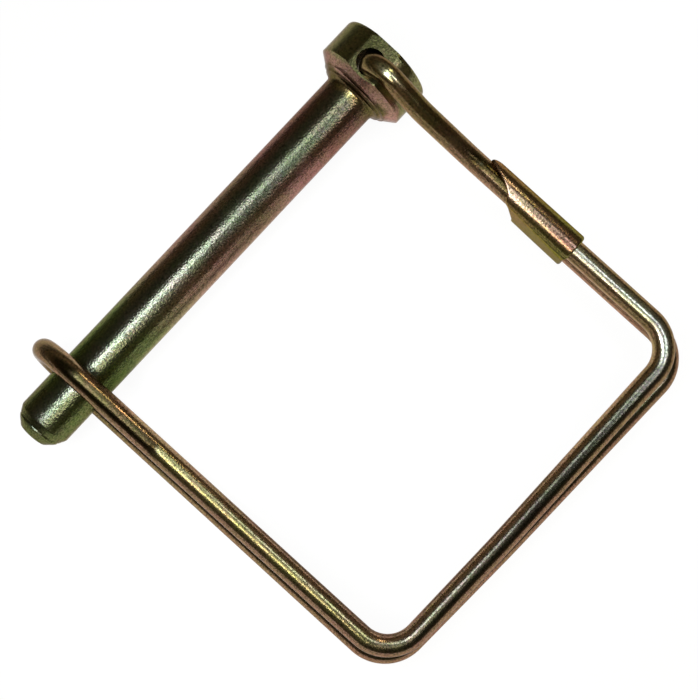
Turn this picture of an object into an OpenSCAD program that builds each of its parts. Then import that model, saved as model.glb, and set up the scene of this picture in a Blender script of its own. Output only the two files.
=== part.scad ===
// Two-wire safety lock pin: a turned pin with a drilled head, and a square
// bail bent from one spring wire whose doubled end snaps round the shank.
//
// The shank lies along +X, pointing to its tip. The origin is on the shank's
// axis, in the plane of the head's underside. The bail spreads to +Y, and +Z
// is the face that the single wire crosses. All sizes are in millimetres.

/* [Pin] */
// Diameter of the shank
shank_d = 9.525; // [8:0.025:11]
// Usable length, from the head's underside to the snap wire
grip_len = 63.7; // [50:0.1:76]
// Shank left past the snap wire, chamfer included
tip_past = 11.2; // [8:0.1:16]
// Length of the steep chamfer's cone at the very tip
nose_len = 1.2; // [0.6:0.1:2]
// Length of the shallow cone behind it
lead_len = 1.7; // [1:0.1:3]
// Radius of the flat end face
nose_r = 2.6; // [1.5:0.1:3]
// Radius where the two cones meet
lead_r = 3.85; // [3.3:0.05:4]

/* [Head] */
// Diameter of the head
head_d = 17.2; // [16:0.1:20]
// Length of the whole head, chamfer included
head_len = 7.8; // [7:0.1:10]
// Length along the axis of the chamfer under the head
bevel_len = 1.4; // [0.8:0.1:2]
// Radius that the chamfer comes down to
bevel_r = 6.7; // [6.5:0.1:7.4]
// Angle by which the head's outer face is out of square
face_skew = 1.8; // [0:0.2:3]
// How far the head's rim is broken at its outer face
rim_break = 0.45; // [0.1:0.05:0.6]
// Distance from the head's underside at which its fillet starts
fillet_from = 0.6; // [0.3:0.1:1.2]
// Radius of the fillet from the head to the shank
fillet_r = 1.1; // [0.6:0.1:1.3]
// Thickness of the collar that upsetting leaves against the head
collar_len = 0.9; // [0.6:0.1:1.2]
// Radius of the collar
collar_r = 6.3; // [5.8:0.1:6.4]
// Radius of the collar's rounded edge
collar_edge = 0.4; // [0.2:0.05:0.5]
// Angle by which the collar stands askew, as struck
collar_skew = 6; // [0:0.5:7]
// Depth of the two small flats at the ends of the cross hole
flat_depth = 0.56; // [0.3:0.02:0.8]
// Distance from the head's underside back to the cross hole
hole_back = 3.84; // [3.4:0.02:4.4]
// Play of the wire in the cross hole, on the diameter
hole_play = 1.04; // [0.7:0.02:1.4]
// Gap left on the side of the hole that the wire leans to
hole_gap = 0.07; // [0.05:0.01:0.3]

/* [Wire] */
// Diameter of the spring wire
wire_d = 3.76; // [3:0.02:4.2]
// Gap between the two wires where they run side by side
wire_gap = 0.1; // [0.05:0.01:0.3]
// Gap between the head's back flat and the clinched end
head_gap = 0.8; // [0.75:0.05:1.1]
// Gap between the head's rim and the wire as it swings over it
rim_gap = 0.1; // [0.05:0.05:0.5]
// Bend radius at the head, at the wire's centre
hook_r = 3.4; // [3.3:0.1:5]
// Bend radius of the clinched end behind the head, at the wire's centre
clinch_r = 2.9; // [2.4:0.1:2.9]
// Length of the clinched end, from the hole's axis
clinch_len = 6; // [5.5:0.1:8]

/* [Bail] */
// Distance from the shank's axis to the far leg
reach = 68.6; // [60:0.5:80]
// Bend radius of the two square corners, at the wire's centre
corner_r = 6.5; // [5:0.1:9]
// How far the bail's first leg stands behind the head's underside, at the corner
leg_back = 5.2; // [4:0.1:7]
// How much less it stands back where it leaves the head
leg_lean = 0.4; // [0:0.1:1]
// How much the front wire's snap leg leans towards the head at the corner
snap_lean = 0.3; // [0:0.1:1]
// How far the falling wire is cranked towards the shank, halfway down
crank = 0.45; // [0:0.05:0.6]
// Outward bow of the far leg
far_bow = 0.35; // [0:0.05:0.6]
// How far the back wire stands outside the front one at the first corner
back_out = 2.3; // [0:0.1:2.5]
// How far it stands outside the front one's far leg at the second corner
turn_out = 0.8; // [0:0.1:2.5]
// How far it stands outside the front one's snap leg at the second corner
snap_out = 1.6; // [0:0.1:2.5]
// How far it stands outside the front one at the snap loop
loop_out = 3.4; // [0:0.1:4]
// Free gap between the shank and the snap loop
loop_gap = 1.5; // [1:0.1:2.5]

/* [Sleeve] */
// Distance from the shank's axis to the sleeve's mouth, at its longer side
sleeve_from = 25.2; // [22:0.1:30]
// Length of the sleeve along its longer side
sleeve_len = 19.9; // [16:0.1:24]
// Thickness of the sleeve's sheet
sleeve_wall = 0.85; // [0.5:0.05:1.2]
// How much shorter the sleeve is along its inner side
mouth_slant = 7.6; // [3:0.1:9]
// How far the sleeve's inner side is pressed in at the mouth, from its square end
mouth_press = 0.45; // [0.1:0.05:0.45]
// Corner radius at the mouth's longer side
mouth_r = 0.6; // [0.3:0.1:1.2]
// Corner radius at the sleeve's square end
end_r = 0.7; // [0.3:0.1:1.2]
// Width of the seam where the sheet's edges meet, behind the back wire
seam_w = 0.4; // [0.2:0.05:1]
// How far the second wire's end lies inside the sleeve
end_in = 9; // [8:0.5:12]
// Gap between the sleeve and the wires it grips
grip_gap = 0.02; // [0.01:0.01:0.1]

/* [Hidden] */
$fn = 96;

shank_r = shank_d / 2;
head_r = head_d / 2;
wire_r = wire_d / 2;
hole_d = wire_d + hole_play;

// along the pin
snap_x = grip_len + wire_r;
tip_x = grip_len + wire_d + tip_past;
hole_x = -hole_back;
// the blank is long enough for its outer face to be cut askew
blank_end = head_len + head_r * tan(face_skew) + 0.1;
flat_z = head_r - flat_depth;

// how far a straight laps into a bend, and how much thinner it is
lap = 0.05;
hair = 0.02;

// the wire leans in its hole, towards the shank and the far leg
lean = hole_play / 2 - hole_gap;
lean_angle = 41;
hook_x = hole_x + lean * cos(lean_angle);
hook_y = lean * sin(lean_angle);
hook_z = flat_z + head_gap + wire_r;

// heights of the two wires: side by side, and round the snap loop
pair_z = wire_r + wire_gap / 2;
loop_r = shank_r + loop_gap + wire_r;

// the single wire comes down at about this angle, and levels before the sleeve
fall = 26.5;
dip_r = 12;
crank_r = 40;
bow_r = 300;
dip_y = sleeve_from - dip_r * tan(fall / 2);
sleeve_to = sleeve_from + sleeve_len;

// it starts high enough to clear the rim's furthest corner as the bail swings
rim_reach = norm([head_len + flat_z * tan(face_skew) + hook_x,
                  sqrt(pow(head_r, 2) - pow(flat_z, 2)) + hook_y]);
rim_z = flat_z + (wire_r + rim_gap) / cos(fall);
top_z = rim_z + (rim_z - pair_z) * rim_reach / (dip_y - hook_y - rim_reach);

// how far along X the first leg stands at a given distance from the shank
leg_slope = -leg_lean / (reach - dip_y);
function leg_x(y) = -leg_back + leg_slope * (y - reach);

// at the second corner the wires stay as far apart, whichever way they spread
corner_z = sqrt(pow(pair_z, 2) - pow(min(snap_out, turn_out) / 2, 2));
// from there they part evenly, and the snap loop's round end meets them
part_angle = atan((1.1 * loop_r - corner_z) / (reach + loop_r));
loop_z = loop_r * tan(45 + part_angle / 2) + 0.1;

// one wire, from its clinched end to its end in the sleeve
back_reach = reach + back_out;
near_x = snap_x - snap_lean;
hook_top = [hook_x, hook_y, top_z];
dip = [leg_x(dip_y), dip_y, pair_z];
// the far leg bows most some way past its middle
bow_at = 0.62;
bow_x = leg_x(reach) + bow_at * (near_x - leg_x(reach));
wire_points = [
    [hook_x, -clinch_len, -hook_z],
    [hook_x, hook_y, -hook_z],
    hook_top,
    (hook_top + dip) / 2 + [crank, 0, 0],
    dip,
    [leg_x(reach), reach, pair_z],
    [bow_x, reach + far_bow, pair_z],
    [near_x, reach, corner_z],
    [snap_x, -loop_r, loop_z],
    [snap_x + loop_out, -loop_r, -loop_z],
    [near_x + snap_out, reach + turn_out, -corner_z],
    [bow_x, reach + back_out + (turn_out - back_out) * bow_at + far_bow, -pair_z],
    [leg_x(back_reach), back_reach, -pair_z],
    [leg_x(sleeve_from + end_in), sleeve_from + end_in, -pair_z],
];
wire_bends = [0, clinch_r, hook_r, crank_r, dip_r, corner_r, bow_r, corner_r,
              loop_r, loop_r, corner_r, bow_r, corner_r, 0];

function unit(v) = v / norm(v);
function turn_at(i) =
    acos(unit(wire_points[i] - wire_points[i - 1]) * unit(wire_points[i + 1] - wire_points[i]));
// length that the bend at point i takes from the straight on each side
function bend_cut(i) =
    wire_bends[i] == 0 ? 0 : wire_bends[i] * tan(turn_at(i) / 2);
// a frame whose third axis is d and whose first axis is near side
function frame_on(d, side, at) =
    let (z = unit(d), y = unit(cross(z, side)), x = cross(y, z))
    [[x[0], y[0], z[0], at[0]], [x[1], y[1], z[1], at[1]], [x[2], y[2], z[2], at[2]], [0, 0, 0, 1]];

// a straight is a hair thinner than the bends, and ends just inside them
module straight(i) {
    run = wire_points[i + 1] - wire_points[i];
    first = bend_cut(i) - (wire_bends[i] == 0 ? 0 : lap);
    last = bend_cut(i + 1) - (wire_bends[i + 1] == 0 ? 0 : lap);
    side = abs(unit(run)[2]) > 0.9 ? [1, 0, 0] : [0, 0, 1];
    multmatrix(frame_on(run, side, wire_points[i] + unit(run) * first))
        cylinder(r = wire_r - hair, h = norm(run) - first - last);
}

module bend(i) {
    back = unit(wire_points[i - 1] - wire_points[i]);
    ahead = unit(wire_points[i + 1] - wire_points[i]);
    centre = wire_points[i] + unit(back + ahead) * wire_bends[i] / cos(turn_at(i) / 2);
    start = wire_points[i] + back * bend_cut(i) - centre;
    multmatrix(frame_on(cross(start, -back), start, centre))
        rotate_extrude(angle = turn_at(i))
            translate([wire_bends[i], 0])
                circle(r = wire_r);
}

// a revolved outline, turned so that its first coordinate runs along +X
module turned() {
    rotate([0, 90, 0])
        rotate([0, 0, 90])
            rotate_extrude()
                rotate([0, 0, 90])
                    mirror([0, 1])
                        children();
}

module blank_outline() {
    polygon([
        [-blank_end, 0],
        [-blank_end, head_r - rim_break],
        [-blank_end + 3 * rim_break, head_r],
        [-bevel_len, head_r],
        [0, bevel_r],
        [0, shank_r],
        [tip_x - nose_len - lead_len, shank_r],
        [tip_x - nose_len, lead_r],
        [tip_x, nose_r],
        [tip_x, 0],
    ]);
}

// the fillet runs out just under the shank's skin, so that it meets it cleanly
module fillet_outline() {
    root_r = shank_r - 0.03;
    difference() {
        translate([-bevel_len, 0])
            square([bevel_len + fillet_from + fillet_r, root_r + fillet_r]);
        translate([fillet_from + fillet_r, root_r + fillet_r])
            circle(r = fillet_r);
    }
}

module collar_outline() {
    translate([-bevel_len, 0])
        square([bevel_len + collar_len - collar_edge, collar_r]);
    translate([-bevel_len, 0])
        square([bevel_len + collar_len, collar_r - collar_edge]);
    translate([collar_len - collar_edge, collar_r - collar_edge])
        circle(r = collar_edge);
}

module pin() {
    color([0.47, 0.43, 0.28])
    difference() {
        union() {
            turned() blank_outline();
            turned() fillet_outline();
            rotate([0, 0, collar_skew])
                turned() collar_outline();
        }
        translate([-head_len, 0, 0])
            rotate([0, -face_skew, 0])
                translate([-head_len, -head_d, -head_d])
                    cube([head_len, 2 * head_d, 2 * head_d]);
        for (side = [-1, 1])
            translate([-2 * head_len, -head_r, side > 0 ? flat_z : -flat_z - head_r])
                cube([2 * head_len, head_d, head_r]);
        translate([hole_x, 0, -head_r])
            cylinder(d = hole_d, h = head_d);
    }
}

module wire_bail() {
    color([0.40, 0.36, 0.22])
    union() {
        for (i = [0 : len(wire_points) - 2])
            straight(i);
        for (i = [1 : len(wire_points) - 2])
            bend(i);
    }
}

// an oval across the sleeve, r round each of the two wires
module oval(r) {
    for (z = [-pair_z, pair_z])
        translate([0, z])
            circle(r = r);
    square([2 * r, 2 * pair_z], center = true);
}

// what rounding takes off an edge along Z at the origin, whose two faces
// stand at half_angle on each side of +X
module edge_waste(half_angle, r, height) {
    reach_in = r / tan(half_angle);
    difference() {
        translate([-1, -reach_in, -height / 2])
            cube([1 + reach_in * cos(half_angle), 2 * reach_in, height]);
        translate([r / sin(half_angle), 0, -height])
            cylinder(r = r, h = 2 * height);
    }
}

module sleeve() {
    inner = wire_r + grip_gap;
    outer = inner + sleeve_wall;
    half = outer + 0.01;
    height = 2 * (pair_z + outer + 1);
    slant = atan(mouth_slant / (2 * half));
    color([0.50, 0.42, 0.24])
    translate([leg_x(0), 0, 0])
    rotate([0, 0, -atan(leg_slope)])
    difference() {
        translate([0, sleeve_to, 0])
            rotate([90, 0, 0])
                linear_extrude(sleeve_len)
                    oval(outer);
        translate([0, sleeve_to + 1, 0])
            rotate([90, 0, 0])
                linear_extrude(sleeve_len + 2)
                    oval(inner);
        translate([-seam_w / 2, sleeve_from - 1, -height / 2])
            cube([seam_w, sleeve_len + 2, height / 2 - pair_z]);
        // the side that is pressed in towards the mouth
        translate([outer, sleeve_to, 0])
            rotate([0, 0, -atan(mouth_press / (sleeve_len - mouth_slant))])
                translate([0, -2 * sleeve_len, -height / 2])
                    cube([height, 3 * sleeve_len, height]);
        // the slanted mouth and its rounded lip
        translate([-half, sleeve_from, 0])
            rotate([0, 0, slant])
                translate([-height, -height, -height / 2])
                    cube([3 * height, height, height]);
        translate([-half, sleeve_from, 0])
            rotate([0, 0, 45 + slant / 2])
                edge_waste(45 - slant / 2, mouth_r, height);
        // the square end's rounded corners
        translate([-half, sleeve_to, 0])
            rotate([0, 0, -45])
                edge_waste(45, end_r, height);
        translate([half, sleeve_to, 0])
            rotate([0, 0, -135])
                edge_waste(45, end_r, height);
    }
}

pin();
wire_bail();
sleeve();
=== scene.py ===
"""Safety lock pin: a steel pin with a drilled head, and a square wire bail that
snaps round it. All of it is zinc plated and passivated yellow.

The CAD model is the frame. Each of its three solids is stood for by a finer
surface worked out here from the same sizes. Lengths below are in millimetres
and go into the meshes in metres.
"""

import math

import bpy
import numpy as np
from mathutils import Euler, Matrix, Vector


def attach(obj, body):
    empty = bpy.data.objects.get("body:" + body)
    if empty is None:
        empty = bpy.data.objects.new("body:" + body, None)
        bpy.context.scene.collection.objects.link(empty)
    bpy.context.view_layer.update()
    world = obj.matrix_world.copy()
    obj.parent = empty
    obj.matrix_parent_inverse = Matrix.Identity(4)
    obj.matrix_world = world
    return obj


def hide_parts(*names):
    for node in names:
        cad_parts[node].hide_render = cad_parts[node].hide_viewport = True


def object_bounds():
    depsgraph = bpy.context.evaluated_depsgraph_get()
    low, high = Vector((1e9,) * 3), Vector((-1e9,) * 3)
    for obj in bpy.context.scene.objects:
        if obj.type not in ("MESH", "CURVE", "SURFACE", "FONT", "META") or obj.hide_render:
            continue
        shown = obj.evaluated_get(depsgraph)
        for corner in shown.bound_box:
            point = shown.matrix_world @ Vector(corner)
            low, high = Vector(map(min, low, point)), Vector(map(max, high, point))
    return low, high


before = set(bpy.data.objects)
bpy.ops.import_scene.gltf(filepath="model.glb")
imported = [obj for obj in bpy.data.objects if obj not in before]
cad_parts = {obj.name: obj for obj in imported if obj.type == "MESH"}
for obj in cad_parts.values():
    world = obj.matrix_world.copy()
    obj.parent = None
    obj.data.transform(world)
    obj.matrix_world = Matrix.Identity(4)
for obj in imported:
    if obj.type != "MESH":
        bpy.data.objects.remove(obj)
cad_low, cad_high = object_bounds()

MM = 0.001
scene = bpy.context.scene

# ---------------------------------------------------------------- sizes
# The pin: its axis is X, the head's underside lies at x = 0, and its tip is at +X.
SHANK_R = 4.7625
SHANK_END = 75.76  # where the shank ends and its first cone starts
LEAD_X, LEAD_R = 77.46, 3.85  # where the two cones meet
TIP_X, TIP_R = 78.66, 2.6
END_R = TIP_R - 0.12  # the end face, inside its rounded edge
HEAD_R = 8.6
HEAD_LEN = 7.8
RIM_BREAK, RIM_SLOPE = 0.3, 0.5  # how far the rim is broken, and its rise per length
BLANK_SPARE = 0.1  # how much longer the blank is than its slanted face needs
FACE_SKEW = math.radians(1.8)
FLAT_Z = 8.04
BEVEL_LEN, BEVEL_R = 1.4, 6.7
FILLET_FROM, FILLET_R = 0.6, 1.1
COLLAR_LEN, COLLAR_R = 0.9, 6.7
COLLAR_TILT = 0.4  # share by which the collar is taller on one side than on average
RUN_OUT = 2.0  # how steeply the collar and the fillet end outside their radii
HOLE_X, HOLE_R = -3.84, 2.4
DRILL_REACH = 11.0  # how far the drill goes past the axis, both ways
# how wide the flats blend into the wall, the fillet into the collar, and both
# into the bevel
FLAT_BLEND, FILLET_BLEND, BEVEL_BLEND = 0.1, 0.6, 0.5

# The sleeve, from its mouth to its square end along Y.
SLEEVE_FROM, SLEEVE_TO = 25.2, 45.1
SLEEVE_IN, SLEEVE_OUT = 1.9, 2.75
SEAM = 0.4
END_EASE = 0.245  # how far the square end's corners are eased
MOUTH_AHEAD = 0.2  # how far before SLEEVE_FROM the mouth's slant starts
MOUTH_SLANT = 7.6
SLANT_SHARE = 0.79  # how much of the slant the front wall takes
BACK_CUT = 4.5  # how far the mouth is cut back behind
INNER_CUT = 1.4  # how much further behind on the square's inside
# how far the mouth's corners curl back, and how far from the middle they start,
# outside the square and inside it
OUTER_CURL, OUTER_CURL_FROM = 1.9, 1.7
INNER_CURL, INNER_CURL_FROM = 1.5, 1.6
MOUTH_PRESS, PRESS_BLEND = 0.45, 0.15

# The wire: how it lies in the head's hole, and how the two wires lie together.
WIRE_R = 1.88
THINNER = 0.004  # how much thinner it is drawn, so that it stays inside the CAD's box
PAIR_Z = 1.93
HOLE_LEAN, HOLE_LEAN_ANGLE = 0.45, math.radians(41)
HEAD_GAP, RIM_GAP, LOOP_GAP = 0.8, 0.1, 1.5
# its bends
CLINCH_R, HOOK_R, CRANK_R, DIP_R, CORNER_R, BOW_R = 2.9, 3.4, 40, 12, 6.5, 300
CLINCH_LEN = 6
END_IN = 9  # how far its second end lies inside the sleeve
FALL = math.radians(26.5)  # how steeply it comes down from the head
CRANK = 0.45  # how far it is cranked halfway down
# the square that it makes
REACH = 68.6
SNAP_X, SNAP_LEAN = 65.58, 0.3
LEG_BACK, LEG_LEAN = 5.2, 0.4
FAR_BOW, BOW_SHARE = 0.35, 0.62  # how far the far leg bows out, and where
# how far the back wire stands outside the front one, corner by corner
BACK_OUT, TURN_OUT, SNAP_OUT, LOOP_OUT = 2.3, 0.8, 1.6, 3.4
LOOP_RISE = 1.1  # about how high the loop's corners lie, as a share of its radius
LOOP_STRAIGHT = 0.1  # half the straight between the loop's two bends
# a nick on top of the snap leg, over this point of its centreline
NICK = (66.0, 17.3, 7.6)
NICK_WIDE, NICK_LONG, NICK_DEEP = 0.6, 0.4, 0.18

DIP_Y = SLEEVE_FROM - DIP_R * math.tan(FALL / 2)
HOOK_X = HOLE_X + HOLE_LEAN * math.cos(HOLE_LEAN_ANGLE)
HOOK_Y = HOLE_LEAN * math.sin(HOLE_LEAN_ANGLE)
HOOK_Z = FLAT_Z + HEAD_GAP + WIRE_R
LOOP_R = SHANK_R + LOOP_GAP + WIRE_R


# ---------------------------------------------------------------- helpers
def linear(code):
    """An sRGB hex colour as linear red, green and blue, and an alpha of 1."""
    parts = [int(code[i : i + 2], 16) / 255 for i in (0, 2, 4)]
    parts = [c / 12.92 if c <= 0.04045 else ((c + 0.055) / 1.055) ** 2.4 for c in parts]
    return (*parts, 1.0)


def add_node(tree, kind, links=(), inputs=(), stops=(), **settings):
    """Adds a node, sets its attributes and inputs, links (input, socket) pairs, and
    gives a colour ramp its stops, each a position and a hex colour."""
    node = tree.nodes.new(kind)
    for name, value in settings.items():
        setattr(node, name, value)
    for name, value in inputs:
        node.inputs[name].default_value = value
    for name, socket in links:
        tree.links.new(socket, node.inputs[name])
    # a new ramp has two stops
    for _ in stops[2:]:
        node.color_ramp.elements.new(0.5)
    for k, (position, colour) in enumerate(stops):
        element = node.color_ramp.elements[k]
        element.position, element.color = position, linear(colour)
    return node


def mesh_of(name, points, faces):
    """A mesh from points in millimetres and faces."""
    mesh = bpy.data.meshes.new(name)
    mesh.from_pydata((points * MM).tolist(), [], faces)
    mesh.validate()
    return mesh


def ring_faces(rows, cols):
    """The four-sided faces of a grid of points whose rows are closed rings."""
    i = np.arange(rows - 1)[:, None] * cols
    j = np.arange(cols)[None, :]
    k = (j + 1) % cols
    return np.stack([i + j, i + k, i + cols + k, i + cols + j], -1).reshape(-1, 4).tolist()


def with_middles(grid):
    """A grid's values in one list, with the means of its first and last rows."""
    return np.vstack([grid.reshape(-1, 3), grid[0].mean(0), grid[-1].mean(0)])


def grid_mesh(name, points):
    """A mesh over a grid of points: rows along the first axis, each row a closed
    ring. Each end is closed by a fan to its ring's mean."""
    rows, cols = points.shape[:2]
    faces = ring_faces(rows, cols)
    first, last, middle = np.arange(cols), (rows - 1) * cols, rows * cols
    second = (first + 1) % cols
    faces += np.stack([second, first, np.full(cols, middle)], -1).tolist()
    faces += np.stack([last + first, last + second, np.full(cols, middle + 1)], -1).tolist()
    return mesh_of(name, with_middles(points), faces)


def outward(obj):
    """Turns a closed mesh's faces outwards if its signed volume is negative."""
    mesh = obj.data
    mesh.calc_loop_triangles()
    co = np.zeros(len(mesh.vertices) * 3)
    mesh.vertices.foreach_get("co", co)
    tri = np.zeros(len(mesh.loop_triangles) * 3, int)
    mesh.loop_triangles.foreach_get("vertices", tri)
    a, b, c = co.reshape(-1, 3)[tri.reshape(-1, 3)].transpose(1, 0, 2)
    if np.einsum("ij,ij->i", a, np.cross(b, c)).sum() < 0:
        mesh.flip_normals()


def piece(name, mesh, sharp=30):
    """A shown object at the origin, smooth but for edges sharper than the angle."""
    obj = bpy.data.objects.new(name, mesh)
    scene.collection.objects.link(obj)
    outward(obj)
    mesh.polygons.foreach_set("use_smooth", np.ones(len(mesh.polygons), bool))
    mesh.set_sharp_from_angle(angle=math.radians(sharp))
    return obj


# ---------------------------------------------------------------- shapes
def smooth_min(a, b, width):
    """The lesser of two arrays, blended over width where they cross."""
    h = np.clip(0.5 + 0.5 * (b - a) / width, 0, 1)
    return b + (a - b) * h - width * h * (1 - h)


def part_way(value, start, stop):
    """How far value has come from start to stop, from 0 to 1."""
    return np.clip((value - start) / (stop - start), 0, 1)


def arc(centre, radius, start, stop, steps):
    """Points on an arc, angles in degrees from the X axis."""
    t = np.radians(np.linspace(start, stop, steps))
    return np.c_[centre[0] + radius * np.cos(t), centre[1] + radius * np.sin(t)]


def pin_surface():
    """A profile (x, r) turned about the X axis at angle a, so that
    y = r cos a and z = r sin a. On the head, r is cut to the flats at
    |z| = FLAT_Z, and the outer face leans by x = -HEAD_LEN - z tan skew. Under
    the head, x at each r and a is the highest of the chamfer, the collar,
    which is taller on one side, and the fillet's arc."""
    angles = np.linspace(0, 2 * np.pi, 384, endpoint=False)
    cos, sin = np.cos(angles), np.sin(angles)
    even = np.ones_like(angles)
    flat_r = FLAT_Z / np.maximum(np.abs(sin), 1e-6)
    skew = math.tan(FACE_SKEW)
    rim_x = RIM_BREAK / RIM_SLOPE - (HEAD_LEN + HEAD_R * skew + BLANK_SPARE)
    rows = []

    # the outer face, from its middle to its edge; a row is (x, r) at every angle,
    # and the face leans, so its edge with the broken rim is found in four rounds
    edge = even * (HEAD_R - RIM_BREAK)
    for _ in range(4):
        x = -HEAD_LEN - smooth_min(edge, flat_r, FLAT_BLEND) * sin * skew
        edge = np.minimum(HEAD_R, HEAD_R - (rim_x - x) * RIM_SLOPE)
    edge = smooth_min(edge, flat_r, FLAT_BLEND)
    for share in np.linspace(0.04, 1, 26):
        r = edge * share
        rows.append((-HEAD_LEN - r * sin * skew, r))

    # the broken rim and the wall
    first = rows[-1][0]
    for t in np.linspace(0, 1, 30)[1:]:
        x = first + (-BEVEL_LEN - first) * t
        r = np.minimum(HEAD_R, HEAD_R - np.maximum(rim_x - x, 0) * RIM_SLOPE)
        rows.append((x, smooth_min(r, flat_r, FLAT_BLEND)))

    # the underside, inwards to the shank, with the closest rings at the collar's edge
    rings = np.r_[
        np.linspace(HEAD_R, COLLAR_R + 0.12, 26),
        np.linspace(COLLAR_R + 0.1, COLLAR_R - 0.5, 26),
        np.linspace(COLLAR_R - 0.52, SHANK_R + 0.002, 34),
    ]
    for ring in rings[1:]:
        r = smooth_min(even * ring, flat_r, FLAT_BLEND)
        bevel = -BEVEL_LEN * part_way(r, BEVEL_R, HEAD_R)
        lip = COLLAR_LEN * part_way(r, COLLAR_R, SHANK_R)
        collar = lip * (1 - COLLAR_TILT * cos) + RUN_OUT * np.minimum(COLLAR_R - r, 0)
        inside = SHANK_R + FILLET_R - r
        bend = FILLET_R - np.sqrt(FILLET_R**2 - np.clip(inside, 0, FILLET_R) ** 2)
        fillet = FILLET_FROM + bend + RUN_OUT * np.minimum(inside, 0)
        x = -smooth_min(-bevel, smooth_min(-collar, -fillet, FILLET_BLEND), BEVEL_BLEND)
        rows.append((x, r))

    # the shank to just before its end, then what the tool left at the tip
    last = rows[-1][0]
    for t in np.linspace(0, 1, 60)[1:]:
        rows.append((last + (SHANK_END - 0.25 - last) * t, SHANK_R * even))
    nose = [
        # the shank's eased edge
        (SHANK_END - 0.1, SHANK_R - 0.01),
        (SHANK_END + 0.05, SHANK_R - 0.05),
        (SHANK_END + 0.2, SHANK_R - 0.12),
        # the foot of the first cone, with a shallow groove
        (LEAD_X - 0.62, LEAD_R + 0.33),
        (LEAD_X - 0.5, LEAD_R + 0.13),
        (LEAD_X - 0.38, LEAD_R + 0.13),
        (LEAD_X - 0.28, LEAD_R + 0.16),
        # the second cone
        (LEAD_X, LEAD_R - 0.02),
        (LEAD_X + 0.15, LEAD_R - 0.16),
        # the end's eased edge
        (TIP_X - 0.2, TIP_R + 0.2),
        (TIP_X - 0.05, TIP_R + 0.03),
        (TIP_X, END_R),
    ]
    rows += [(x * even, r * even) for x, r in nose]
    rows += [(TIP_X * even, r * even) for r in np.linspace(END_R, 0.15, 14)[1:]]
    x, r = np.array(rows).transpose(1, 0, 2)
    return np.stack([x, r * cos, r * sin], -1)


def leg_x(y):
    """Where the first leg lies along X at a distance y from the shank's axis: on a
    straight line, which leans by LEG_LEAN between the dip and the far leg."""
    return -LEG_BACK - LEG_LEAN / (REACH - DIP_Y) * (y - REACH)


def wire_route():
    """The wire's corners and bend radii, as the CAD model has them, turned into
    a centreline: straights, and an arc of the bend's radius at each corner."""
    # it starts high enough to clear the head's rim as the bail swings
    rim_reach = math.hypot(
        HEAD_LEN + FLAT_Z * math.tan(FACE_SKEW) + HOOK_X,
        math.sqrt(HEAD_R**2 - FLAT_Z**2) + HOOK_Y,
    )
    rim_z = FLAT_Z + (WIRE_R + RIM_GAP) / math.cos(FALL)
    top_z = rim_z + (rim_z - PAIR_Z) * rim_reach / (DIP_Y - HOOK_Y - rim_reach)
    top = np.array([HOOK_X, HOOK_Y, top_z])
    dip = np.array([leg_x(DIP_Y), DIP_Y, PAIR_Z])
    # the snap leg's two wires part evenly, and the loop's round end meets them
    corner_z = math.sqrt(PAIR_Z**2 - (min(SNAP_OUT, TURN_OUT) / 2) ** 2)
    part = math.atan((LOOP_RISE * LOOP_R - corner_z) / (REACH + LOOP_R))
    loop_z = LOOP_R * math.tan(math.pi / 4 + part / 2) + LOOP_STRAIGHT
    near_x = SNAP_X - SNAP_LEAN
    bow_x = leg_x(REACH) + BOW_SHARE * (near_x - leg_x(REACH))
    back = REACH + BACK_OUT
    end = SLEEVE_FROM + END_IN
    route = [
        ((HOOK_X, -CLINCH_LEN, -HOOK_Z), 0),
        ((HOOK_X, HOOK_Y, -HOOK_Z), CLINCH_R),
        (top, HOOK_R),
        ((top + dip) / 2 + (CRANK, 0, 0), CRANK_R),
        (dip, DIP_R),
        ((leg_x(REACH), REACH, PAIR_Z), CORNER_R),
        ((bow_x, REACH + FAR_BOW, PAIR_Z), BOW_R),
        ((near_x, REACH, corner_z), CORNER_R),
        ((SNAP_X, -LOOP_R, loop_z), LOOP_R),
        ((SNAP_X + LOOP_OUT, -LOOP_R, -loop_z), LOOP_R),
        ((near_x + SNAP_OUT, REACH + TURN_OUT, -corner_z), CORNER_R),
        ((bow_x, back + (TURN_OUT - BACK_OUT) * BOW_SHARE + FAR_BOW, -PAIR_Z), BOW_R),
        ((leg_x(back), back, -PAIR_Z), CORNER_R),
        ((leg_x(end), end, -PAIR_Z), 0),
    ]
    corners = np.array([corner for corner, _ in route], float)
    bends = [radius for _, radius in route]
    line = [corners[0]]
    for before, here, after, radius in zip(corners, corners[1:], corners[2:], bends[1:]):
        u = (before - here) / np.linalg.norm(before - here)
        v = (after - here) / np.linalg.norm(after - here)
        half = math.acos(np.clip(u @ v, -1, 1)) / 2
        centre = here + (u + v) / np.linalg.norm(u + v) * radius / math.sin(half)
        s = here + u * radius / math.tan(half) - centre
        turn = math.pi - 2 * half
        axis = np.cross(s, -u)
        axis /= np.linalg.norm(axis)
        # a point at about every 2.5 degrees of the bend
        t = np.linspace(0, turn, max(6, int(math.degrees(turn) / 2.5)))[:, None]
        line.extend(centre + s * np.cos(t) + np.cross(axis, s) * np.sin(t))
    line = np.array(line + [corners[-1]])
    # long straights are cut into steps of about 0.45 mm
    out = [line[:1]]
    for a, b in zip(line, line[1:]):
        n = max(1, int(round(np.linalg.norm(b - a) / 0.45)))
        out.append(a + (b - a) * (np.arange(1, n + 1) / n)[:, None])
    return np.vstack(out)


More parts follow.
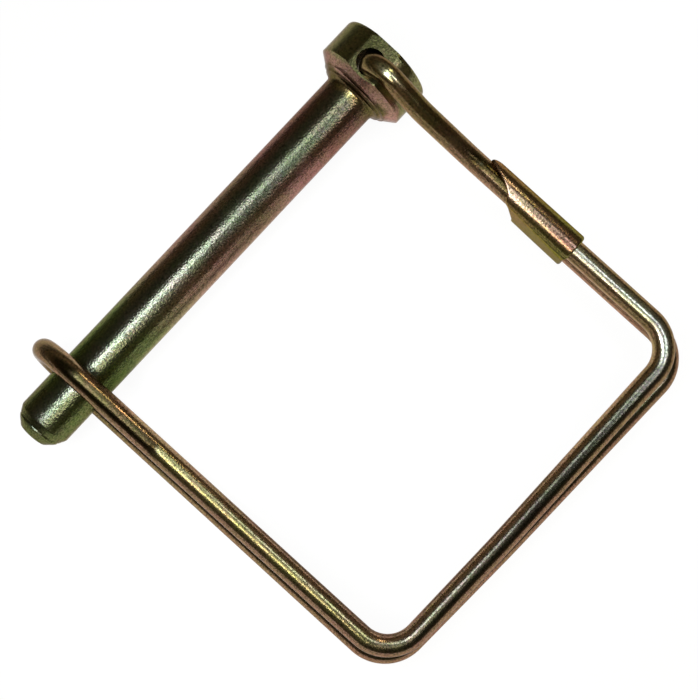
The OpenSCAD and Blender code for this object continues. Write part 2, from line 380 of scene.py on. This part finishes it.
def tube_surface(line, radius, cols=48, edge=0.35, rings=5):
    """A circle of the radius, of cols points, carried along a line. Its frame goes
    from point to point without twist. Each end is rounded off by rings that shrink
    as a quarter circle of the edge's radius. Returns the grid of points, and
    for each the length along the line with the circle's two offsets."""
    along = np.gradient(line, axis=0)
    along /= np.linalg.norm(along, axis=1)[:, None]
    up = np.zeros_like(line)
    up[0] = (1, 0, 0)
    for i in range(1, len(line)):
        up[i] = up[i - 1] - along[i] * (up[i - 1] @ along[i])
        up[i] /= np.linalg.norm(up[i])
    side = np.cross(along, up)
    length = np.r_[0, np.cumsum(np.linalg.norm(np.diff(line, axis=0), axis=1))]

    # the first and the last point give way to an end's rings
    t = np.radians(np.linspace(0, 80, rings))
    shrink = radius - edge + edge * np.cos(t)
    ahead = edge * np.sin(t)
    start = line[0] + along[0] * (edge - ahead[::-1])[:, None]
    stop = line[-1] - along[-1] * (edge - ahead)[:, None]
    last = len(line) - 1
    centre = np.vstack([start, line[1:last], stop])
    radii = np.r_[shrink[::-1], np.full(last - 1, radius), shrink][:, None]
    at = np.r_[[0] * rings, 1:last, [last] * rings]

    a = np.linspace(0, 2 * np.pi, cols, endpoint=False)
    cos, sin = np.cos(a), np.sin(a)
    ring = up[at][:, None] * cos[:, None] + side[at][:, None] * sin[:, None]
    points = centre[:, None] + ring * radii[..., None]
    grain = np.stack([np.repeat(length[at][:, None], cols, 1), radii * cos, radii * sin], -1)
    return points, grain


def sleeve_surface():
    """A sheet bent to an oval round both wires, open at its seam. Its section is
    a C: the oval's outline at half thickness, moved out and in by h. Along Y it
    runs from the slanted mouth to the square end, and h shrinks to each lip as
    a quarter circle does. The inner side is pressed in towards the mouth."""
    mid = (SLEEVE_IN + SLEEVE_OUT) / 2
    half = (SLEEVE_OUT - SLEEVE_IN) / 2
    # the middle line: from one side of the seam (-Z) round to the other
    low = math.degrees(math.asin(SEAM / 2 / mid))
    right = arc((0, -PAIR_Z), mid, -90 + low, 0, 28)
    right_up = np.c_[np.full(14, mid), np.linspace(-PAIR_Z, PAIR_Z, 14)]
    over = arc((0, PAIR_Z), mid, 0, 180, 56)
    left_down = np.c_[np.full(14, -mid), np.linspace(PAIR_Z, -PAIR_Z, 14)]
    left = arc((0, -PAIR_Z), mid, 180, 270 - low, 28)
    path = np.vstack([right, right_up[1:], over[1:], left_down[1:], left[1:]])
    tangent = np.gradient(path, axis=0)
    tangent /= np.linalg.norm(tangent, axis=1)[:, None]
    normal = np.c_[tangent[:, 1], -tangent[:, 0]]

    # the mouth's edge, seen from the front, is a bowed slant with round corners;
    # behind, it is cut back, and furthest on the square's inside, so x is moved
    # up to 2 mm that way there
    x, z = path.T * np.array([[SLEEVE_OUT / mid], [1.0]])
    x = x + 2 * part_way(z, -PAIR_Z, -PAIR_Z - 2)
    down = part_way(z, PAIR_Z, -PAIR_Z)
    bow = MOUTH_SLANT * SLANT_SHARE * np.sin(np.pi / 2 * part_way(x, -WIRE_R, WIRE_R))
    bow = np.maximum(bow, BACK_CUT * down**1.5)
    outer_corner = OUTER_CURL * part_way(x, -OUTER_CURL_FROM, -SLEEVE_OUT) ** 2.5 * (1 - down)
    inner_corner = INNER_CURL * part_way(x, INNER_CURL_FROM, SLEEVE_OUT) ** 2
    behind = INNER_CUT * part_way(x, -0.5, 1) * down
    mouth = SLEEVE_FROM - MOUTH_AHEAD + bow + outer_corner + inner_corner + behind
    square_end = SLEEVE_TO - END_EASE * np.clip(np.abs(path[:, 0]) / mid, 0, 1) ** 12

    # rows along Y, close together at both lips, where the sheet thins
    lip = half * 0.8
    depth = lip * (1 - np.cos(np.radians([0, 18, 36, 54, 72, 90])))[:, None]
    body = np.linspace(0, 1, 42)[1:-1, None]
    y = np.vstack([
        mouth + depth,
        mouth + lip + (square_end - mouth - 2 * lip) * body,
        square_end - depth[::-1],
    ])
    depth = np.vstack([depth, lip + 0 * body, depth[::-1]])
    h = half - lip + np.sqrt(np.clip(lip**2 - (lip - depth) ** 2, 0, None))
    h = h[..., None]
    outer, inner = path + normal * h, path - normal * h
    press = MOUTH_PRESS * (SLEEVE_TO - y) / (SLEEVE_TO - SLEEVE_FROM - MOUTH_SLANT)
    outer[..., 0] = smooth_min(outer[..., 0], SLEEVE_OUT - press, PRESS_BLEND)

    # round the outside, back along the inside, then turned to lie along the leg
    x, z = np.concatenate([outer, inner[:, ::-1]], 1).transpose(2, 0, 1)
    y = np.hstack([y, y[:, ::-1]])
    lean = math.atan(LEG_LEAN / (REACH - DIP_Y))
    cos, sin = math.cos(lean), math.sin(lean)
    return np.stack([leg_x(0) + cos * x - sin * y, sin * x + cos * y, z], -1)


def sleeve_mesh():
    """The C section's grid, with a strip across the sheet's thickness at each end."""
    points = sleeve_surface()
    rows, cols = points.shape[:2]
    faces = ring_faces(rows, cols)
    a = np.arange(cols // 2 - 1)
    for row, flip in ((0, True), (rows - 1, False)):
        ends = row * cols + np.stack([a, a + 1, cols - 2 - a, cols - 1 - a], -1)
        faces += (ends[:, ::-1] if flip else ends).tolist()
    return mesh_of("sleeve_sheet", points.reshape(-1, 3), faces)


# ---------------------------------------------------------------- pieces
def drilled_pin():
    """The turned and upset pin with its cross hole cut through: the drill is a
    circle of HOLE_R round the hole's axis, carried along Z."""
    body = piece("pin_turned", grid_mesh("pin_turned", pin_surface()))
    t = np.linspace(0, 2 * np.pi, 128, endpoint=False)
    z = np.array([[-DRILL_REACH], [DRILL_REACH]]) + 0 * t
    ring = np.stack([HOLE_X + HOLE_R * np.cos(t) + 0 * z, HOLE_R * np.sin(t) + 0 * z, z], -1)
    drill = piece("drill", grid_mesh("drill", ring))
    cut = body.modifiers.new("cross_hole", "BOOLEAN")
    cut.operation, cut.object, cut.solver = "DIFFERENCE", drill, "EXACT"
    depsgraph = bpy.context.evaluated_depsgraph_get()
    mesh = bpy.data.meshes.new_from_object(body.evaluated_get(depsgraph))
    mesh.name = "pin_drilled"
    for spare in (body, drill):
        bpy.data.objects.remove(spare)
    return piece("pin_drilled", mesh, sharp=28)


def bail_wire():
    """The bent wire. On top of the snap leg it has a nick NICK_DEEP deep, whose
    depth falls off as exp(-(dx / NICK_WIDE)**2 - (dy / NICK_LONG)**2). The length
    and the offsets that its finish follows are kept as the attribute grain."""
    points, grain = tube_surface(wire_route(), WIRE_R - THINNER)
    off = points - np.array(NICK)
    nick = np.exp(-((off[..., 0] / NICK_WIDE) ** 2) - (off[..., 1] / NICK_LONG) ** 2)
    points[..., 2] -= NICK_DEEP * nick * (off[..., 2] > 0)
    mesh = grid_mesh("bail_wire", points)
    layer = mesh.attributes.new("grain", "FLOAT_VECTOR", "POINT")
    values = with_middles(grain) * MM
    layer.data.foreach_set("vector", values.astype(np.float32).ravel())
    return piece("bail_wire", mesh, sharp=50)


# ---------------------------------------------------------------- finishes
# The widths of what the film shows: drifts of its thickness, clouds, and crystals.
# Real crystals are too fine to be seen, so they are drawn this coarse.
DRIFT_MM, CLOUD_MM, CRYSTAL_MM = 9, 3.5, 0.3


def object_place(tree):
    """Position on the object, in metres."""
    return add_node(tree, "ShaderNodeTexCoord").outputs["Object"]


def wire_place(tree):
    """Length along the wire and the two offsets across it, in metres."""
    return add_node(tree, "ShaderNodeAttribute", attribute_name="grain").outputs["Vector"]


def leg_place(tree):
    """Position on the object with Y first, for what lies along Y, in metres."""
    axes = add_node(tree, "ShaderNodeSeparateXYZ", links=[("Vector", object_place(tree))]).outputs
    links = [("X", axes["Y"]), ("Y", axes["X"]), ("Z", axes["Z"])]
    return add_node(tree, "ShaderNodeCombineXYZ", links=links).outputs["Vector"]


def passivated_zinc_and_painted_light(name, place, sides, crown, span_mm, drift, grain, rough, edge_tint):
    """Steel, electroplated with bright zinc and passivated in chromate. The film
    over the metal drifts between olive, tan, mauve and green with its thickness.
    What faces up or down takes the crown's colours instead: painted light, darker
    and greyer than the sides to paint the dim room mirrored on top, with painted
    shade and painted highlights in places along the piece. Fine crystals break up
    its shine.

    The colours of the sides and the crown run over span_mm, a start and an end
    along the place's first axis, and drift shifts them by noise. grain is the
    size of the bumps along the first axis and the others, and their height.
    rough is the least and the most roughness, and edge_tint the mirror's colour
    at a grazing angle."""
    material = bpy.data.materials.new(name)
    material.use_nodes = True
    tree = material.node_tree
    shader = tree.nodes["Principled BSDF"]
    shader.inputs["Metallic"].default_value = 1.0
    shader.inputs["Specular Tint"].default_value = linear(edge_tint)
    where = place(tree)

    # how far along the piece, shifted a little by noise
    along = add_node(tree, "ShaderNodeSeparateXYZ", links=[("Vector", where)]).outputs["X"]
    share = add_node(
        tree, "ShaderNodeMapRange", links=[("Value", along)],
        inputs=[("From Min", span_mm[0] * MM), ("From Max", span_mm[1] * MM)],
    ).outputs["Result"]
    drifts = add_node(
        tree, "ShaderNodeTexNoise", links=[("Vector", where)],
        inputs=[("Scale", 1 / (DRIFT_MM * MM)), ("Detail", 4.0), ("Roughness", 0.6)],
    ).outputs["Fac"]
    shifted = add_node(
        tree, "ShaderNodeMath", operation="MULTIPLY_ADD",
        links=[(0, drifts), (2, share)], inputs=[(1, drift)],
    ).outputs[0]
    centred = add_node(
        tree, "ShaderNodeMath", operation="SUBTRACT", links=[(0, shifted)], inputs=[(1, drift / 2)]
    ).outputs[0]

    # the sides' colours, and the crown's on what faces up or down, which are painted light: a
    # painted reflection of the dim room on top, with painted shade and highlights
    facing = add_node(tree, "ShaderNodeTexCoord").outputs["Normal"]
    upward = add_node(tree, "ShaderNodeSeparateXYZ", links=[("Vector", facing)]).outputs["Z"]
    level = add_node(tree, "ShaderNodeMath", operation="ABSOLUTE", links=[(0, upward)]).outputs[0]
    painted_crown_mask = add_node(
        tree, "ShaderNodeMapRange", interpolation_type="SMOOTHSTEP", links=[("Value", level)],
        inputs=[("From Min", 0.78), ("From Max", 0.96)],
    ).outputs["Result"]
    side, top = [
        add_node(tree, "ShaderNodeValToRGB", links=[("Fac", centred)], stops=stops).outputs["Color"]
        for stops in (sides, crown)
    ]
    colour = add_node(
        tree, "ShaderNodeMix", data_type="RGBA", links=[("Factor", painted_crown_mask), ("A", side), ("B", top)]
    ).outputs["Result"]

    # clouds a few millimetres wide, some more mauve and some more green
    clouds = add_node(
        tree, "ShaderNodeTexNoise", links=[("Vector", where)],
        inputs=[("Scale", 1 / (CLOUD_MM * MM)), ("Detail", 3.0), ("Roughness", 0.6)],
    ).outputs["Fac"]
    tint = add_node(
        tree, "ShaderNodeValToRGB", links=[("Fac", clouds)],
        stops=[(0.38, "96707e"), (0.5, "868080"), (0.62, "828c68")],
    ).outputs["Color"]
    colour = add_node(
        tree, "ShaderNodeMix", data_type="RGBA", blend_type="SOFT_LIGHT",
        inputs=[("Factor", 0.45)], links=[("A", colour), ("B", tint)],
    ).outputs["Result"]

    # small crystals, some darker, that catch the light a little pink or green
    fine = add_node(
        tree, "ShaderNodeTexNoise", links=[("Vector", where)],
        inputs=[("Scale", 1 / (CRYSTAL_MM * MM)), ("Detail", 3.0), ("Roughness", 0.7)],
    ).outputs
    mottle = add_node(
        tree, "ShaderNodeValToRGB", links=[("Fac", fine["Fac"])],
        stops=[(0.34, "8e8880"), (0.5, "e6e2dc"), (0.6, "ffffff")],
    ).outputs["Color"]
    colour = add_node(
        tree, "ShaderNodeMix", data_type="RGBA", blend_type="MULTIPLY",
        inputs=[("Factor", 1.0)], links=[("A", colour), ("B", mottle)],
    ).outputs["Result"]
    colour = add_node(
        tree, "ShaderNodeMix", data_type="RGBA", blend_type="SOFT_LIGHT",
        inputs=[("Factor", 0.5)], links=[("A", colour), ("B", fine["Color"])],
    ).outputs["Result"]
    tree.links.new(colour, shader.inputs["Base Color"])

    # bumps left by the forming, weaker on the upset head and the bent hook
    stretch = add_node(
        tree, "ShaderNodeMapping", links=[("Vector", where)],
        inputs=[("Scale", (1 / (grain[0] * MM), 1 / (grain[1] * MM), 1 / (grain[1] * MM)))],
    ).outputs["Vector"]
    bumps = add_node(
        tree, "ShaderNodeTexNoise", links=[("Vector", stretch)],
        inputs=[("Scale", 1.0), ("Detail", 1.0), ("Roughness", 0.5)],
    ).outputs["Fac"]
    coarse = add_node(
        tree, "ShaderNodeMapRange", links=[("Value", share)],
        inputs=[("From Min", 0.06), ("From Max", 0.12), ("To Min", 0.3), ("To Max", 1.0)],
    ).outputs["Result"]
    bump = add_node(
        tree, "ShaderNodeBump", links=[("Height", bumps), ("Strength", coarse)],
        inputs=[("Distance", grain[2] * MM)],
    )
    tree.links.new(bump.outputs["Normal"], shader.inputs["Normal"])
    dull = add_node(
        tree, "ShaderNodeMapRange", links=[("Value", drifts)],
        inputs=[("From Min", 0.3), ("From Max", 0.7), ("To Min", rough[0]), ("To Max", rough[1])],
    )
    tree.links.new(dull.outputs["Result"], shader.inputs["Roughness"])
    return material


# olive on the head with a mauve chamfer, a dark olive throat that is painted shade in the crease
# under the head, then tan and mauve, and green towards the pin's tip
PIN_SIDES_AND_THROAT_SHADE = [
    (0.00, "989872"), (0.070, "989872"), (0.078, "aa8c80"), (0.090, "aa8c80"), (0.096, "6e6648"),
    (0.112, "766c4c"), (0.13, "90776b"), (0.19, "947367"), (0.30, "a7867f"), (0.40, "9e8e76"),
    (0.50, "ad9084"), (0.58, "b49c8a"), (0.71, "8a9a6a"), (0.82, "7c9058"), (0.96, "7a845a"),
]
# grey olive, painted darker than the sides as the dim room mirrored on top, with a tan throat that
# is a painted highlight at the fillet's foot
PIN_CROWN_PAINTED_LIGHT = [
    (0.00, "5c5c42"), (0.088, "5c5c42"), (0.096, "8e845e"), (0.112, "8e845e"), (0.125, "585a4a"),
    (0.3, "545a4e"), (0.6, "585d52"), (1.0, "565f52"),
]
# tan with mauve and olive, over and over along the wire
WIRE_SIDES = [
    (0.00, "a09070"), (0.08, "948460"), (0.13, "b0977e"), (0.20, "b09c78"), (0.30, "b89c84"),
    (0.42, "b49a84"), (0.52, "b29c80"), (0.57, "9c8e66"), (0.62, "ac9c78"), (0.75, "b4947e"),
    (1.00, "b4987f"),
]
# painted highlights and shade along the wire: a pale spot on the hook paints its glint and the pale
# first leg its bright line; the falling wire and the snap loop are nearly black as painted shade,
# and the far leg is dull, which dims its highlight
WIRE_CROWN_PAINTED_LIGHT = [
    (0.00, "5c563e"), (0.055, "544c34"), (0.062, "a4a48c"), (0.071, "a4a48c"), (0.08, "38301e"),
    (0.13, "38301e"), (0.15, "a2a294"), (0.205, "aaaea6"), (0.225, "585a54"), (0.30, "3c3c36"),
    (0.36, "505048"), (0.385, "8c8a6e"), (0.475, "8c8868"), (0.49, "302c1c"), (0.52, "302c1c"),
    (0.55, "646048"), (0.60, "6a6a5c"),
]
# tan at the mouth, olive at the square end
SLEEVE_SIDES = [(0.0, "ac9070"), (0.35, "a89068"), (0.7, "9c9660"), (1.0, "989460")]
# the crown, greyer than the sides: painted light, standing for the dim room mirrored on top
SLEEVE_CROWN_PAINTED_LIGHT = [(0.0, "887c6e"), (0.5, "8a7868"), (1.0, "8c7464")]
PIN_FINISH = passivated_zinc_and_painted_light(
    "passivated_zinc_turned", object_place, PIN_SIDES_AND_THROAT_SHADE, PIN_CROWN_PAINTED_LIGHT, span_mm=(-8, 79),
    drift=0.06, grain=(0.34, 0.34, 0.042), rough=(0.18, 0.28), edge_tint="c8bebc",
)
WIRE_FINISH = passivated_zinc_and_painted_light(
    "passivated_zinc_drawn", wire_place, WIRE_SIDES, WIRE_CROWN_PAINTED_LIGHT, span_mm=(0, 440),
    drift=0.08, grain=(0.45, 0.3, 0.02), rough=(0.18, 0.25), edge_tint="c8bebc",
)
SLEEVE_FINISH = passivated_zinc_and_painted_light(
    "passivated_zinc_rolled", leg_place, SLEEVE_SIDES, SLEEVE_CROWN_PAINTED_LIGHT, span_mm=(25, 45),
    drift=0.3, grain=(0.35, 0.35, 0.015), rough=(0.18, 0.25), edge_tint="a29a93",
)

pin = drilled_pin()
wire = bail_wire()
sleeve = piece("sleeve_rolled", sleeve_mesh(), sharp=40)
for obj, finish, node, body, slot in (
    (pin, PIN_FINISH, "pin", "pin_body", "pin_steel"),
    (wire, WIRE_FINISH, "wire_bail", "bail", "spring_wire"),
    (sleeve, SLEEVE_FINISH, "sleeve", "bail", "sleeve_steel"),
):
    obj.data.materials.append(finish)
    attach(obj, body)
    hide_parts(node)

# ---------------------------------------------------------------- studio
# The camera looks almost straight down, from 200 mm above the bail's square.
camera_data = bpy.data.cameras.new("camera")
camera_data.sensor_width = 36
camera_data.lens = 61.714
camera_data.clip_start, camera_data.clip_end = 0.005, 50
camera = bpy.data.objects.new("camera", camera_data)
camera.location = (0.039393, 0.036525, 0.200122)
camera.rotation_euler = Euler([math.radians(a) for a in (2.9214, 0.2378, 132.9442)])
scene.collection.objects.link(camera)
scene.camera = camera

# Where the paper is dark to mirror rays: painted shade that the metal shows in its reflections only.
# A patch inside the square: on each axis its middle, and the distances from it where it is full and
# where it ends. And past the pin: where along Y it starts and where it is full.
PAPER, PAINTED_SHADE_PAPER = "f6f4f0", "3c3832"
PAINTED_SHADE_PATCH = (("X", 40, 14, 26), ("Y", 50, 5, 40))
PAINTED_SHADE_PAST_PIN = (-20, -80)
# how much of the paper is plain white, to the camera and to mirror rays
CAMERA_WHITE, MIRROR_WHITE = 0.94, 0.04


def floor():
    """A wide sheet of satin paper just under the object. To the camera it is white,
    and keeps a soft shadow. In the metal it is pale but for patches of painted shade."""
    half, z = 6000 * MM, cad_low.z - 0.2 * MM
    corners = [(-half, -half, z), (half, -half, z), (half, half, z), (-half, half, z)]
    mesh = bpy.data.meshes.new("floor")
    mesh.from_pydata(corners, [], [(0, 1, 2, 3)])
    obj = bpy.data.objects.new("floor", mesh)
    scene.collection.objects.link(obj)
    material = bpy.data.materials.new("satin_paper")
    material.use_nodes = True
    tree = material.node_tree
    tree.nodes.clear()
    rays = add_node(tree, "ShaderNodeLightPath").outputs
    place = add_node(tree, "ShaderNodeSeparateXYZ", links=[("Vector", object_place(tree))]).outputs

    # where it is darkened with painted shade: in the patch or past the pin, and to mirror rays alone
    patch = []
    for axis, middle, full, ends in PAINTED_SHADE_PATCH:
        offset = add_node(
            tree, "ShaderNodeMath", operation="SUBTRACT", inputs=[(1, middle * MM)],
            links=[(0, place[axis])],
        ).outputs[0]
        away = add_node(tree, "ShaderNodeMath", operation="ABSOLUTE", links=[(0, offset)]).outputs[0]
        patch.append(add_node(
            tree, "ShaderNodeMapRange", interpolation_type="SMOOTHSTEP", links=[("Value", away)],
            inputs=[("From Min", ends * MM), ("From Max", full * MM)],
        ).outputs["Result"])
    inside = add_node(
        tree, "ShaderNodeMath", operation="MULTIPLY", links=[(0, patch[0]), (1, patch[1])]
    ).outputs[0]
    past = add_node(
        tree, "ShaderNodeMapRange", interpolation_type="SMOOTHSTEP", links=[("Value", place["Y"])],
        inputs=[("From Min", PAINTED_SHADE_PAST_PIN[0] * MM), ("From Max", PAINTED_SHADE_PAST_PIN[1] * MM)],
    ).outputs["Result"]
    either = add_node(
        tree, "ShaderNodeMath", operation="MAXIMUM", links=[(0, inside), (1, past)]
    ).outputs[0]
    dark = add_node(
        tree, "ShaderNodeMath", operation="MULTIPLY", links=[(0, either), (1, rays["Is Glossy Ray"])]
    ).outputs[0]
    tone = add_node(
        tree, "ShaderNodeMix", data_type="RGBA", links=[("Factor", dark)],
        inputs=[("A", linear(PAPER)), ("B", linear(PAINTED_SHADE_PAPER))],
    ).outputs["Result"]

    # the paper as the lamps light it, mostly matt
    matt = add_node(tree, "ShaderNodeBsdfDiffuse", links=[("Color", tone)]).outputs[0]
    sheen = add_node(
        tree, "ShaderNodeBsdfAnisotropic", inputs=[("Color", (1, 1, 1, 1)), ("Roughness", 0.45)]
    ).outputs[0]
    paper = add_node(
        tree, "ShaderNodeMixShader", inputs=[("Fac", 0.2)], links=[(1, matt), (2, sheen)]
    ).outputs[0]

    # with plain white mixed in
    white = add_node(
        tree, "ShaderNodeEmission", inputs=[("Color", (1, 1, 1, 1)), ("Strength", 1.0)]
    ).outputs[0]
    straight = add_node(
        tree, "ShaderNodeMath", operation="ADD",
        links=[(0, rays["Is Camera Ray"]), (1, rays["Is Transmission Ray"])],
    ).outputs[0]
    seen = add_node(
        tree, "ShaderNodeMath", operation="MULTIPLY", inputs=[(1, CAMERA_WHITE)],
        links=[(0, straight)],
    ).outputs[0]
    share = add_node(
        tree, "ShaderNodeMath", operation="MULTIPLY_ADD", inputs=[(1, MIRROR_WHITE)],
        links=[(0, rays["Is Glossy Ray"]), (2, seen)],
    ).outputs[0]
    mix = add_node(
        tree, "ShaderNodeMixShader", links=[("Fac", share), (1, paper), (2, white)]
    ).outputs[0]
    add_node(tree, "ShaderNodeOutputMaterial", links=[("Surface", mix)])
    mesh.materials.append(material)


def lamp(name, place, size, power, colour):
    """A soft box that faces straight down. Its place and size are in millimetres."""
    data = bpy.data.lights.new(name, "AREA")
    data.shape = "RECTANGLE"
    data.size, data.size_y = size[0] * MM, size[1] * MM
    data.energy = power
    data.color = linear(colour)[:3]
    obj = bpy.data.objects.new(name, data)
    scene.collection.objects.link(obj)
    obj.location = Vector(place) * MM
    obj.visible_camera = False


floor()
lamp("over_head", (-14, 1, 190), (84, 50), 0.14, "e8f2f0")
lamp("over_tip", (70, 1, 190), (84, 50), 0.33, "eef4ff")
lamp("over_middle", (58, 76, 190), (56, 56), 0.022, "fffdf0")
lamp("over_far_side", (98, 68, 190), (24, 90), 0.1, "fff4d4")
lamp("over_near_side", (-40, 84, 190), (34, 68), 0.06, "e8f2ff")
lamp("over_hook", (-40, 130, 190), (44, 40), 0.055, "f4f6f0")
lamp("low_side", (-160, 4, 190), (50, 32), 0.09, "fff4c0")

# The room: pale low down towards +X and +Y, and dim elsewhere and above. To the
# camera it is white.
world = bpy.data.worlds.new("dim_room")
scene.world = world
world.use_nodes = True
tree = world.node_tree
direction = add_node(tree, "ShaderNodeTexCoord").outputs["Generated"]
tilted = add_node(
    tree, "ShaderNodeVectorMath", operation="DOT_PRODUCT",
    links=[(0, direction)], inputs=[(1, (-0.15, -0.13, 1.0))],
).outputs["Value"]
height = add_node(
    tree, "ShaderNodeMapRange", links=[("Value", tilted)],
    inputs=[("From Min", -0.3), ("From Max", 1.0)],
).outputs["Result"]
room = add_node(
    tree, "ShaderNodeValToRGB", links=[("Fac", height)],
    stops=[(0.0, "ffffff"), (0.21, "f4f2ee"), (0.3, "544c3a"), (0.5, "5e5642"), (1.0, "867e66")],
).outputs["Color"]
straight = add_node(tree, "ShaderNodeLightPath").outputs["Is Camera Ray"]
backdrop = add_node(
    tree, "ShaderNodeMix", data_type="RGBA", links=[("Factor", straight), ("A", room)],
    inputs=[("B", (1, 1, 1, 1))],
).outputs["Result"]
tree.links.new(backdrop, tree.nodes["Background"].inputs["Color"])

scene.view_settings.view_transform = "Standard"
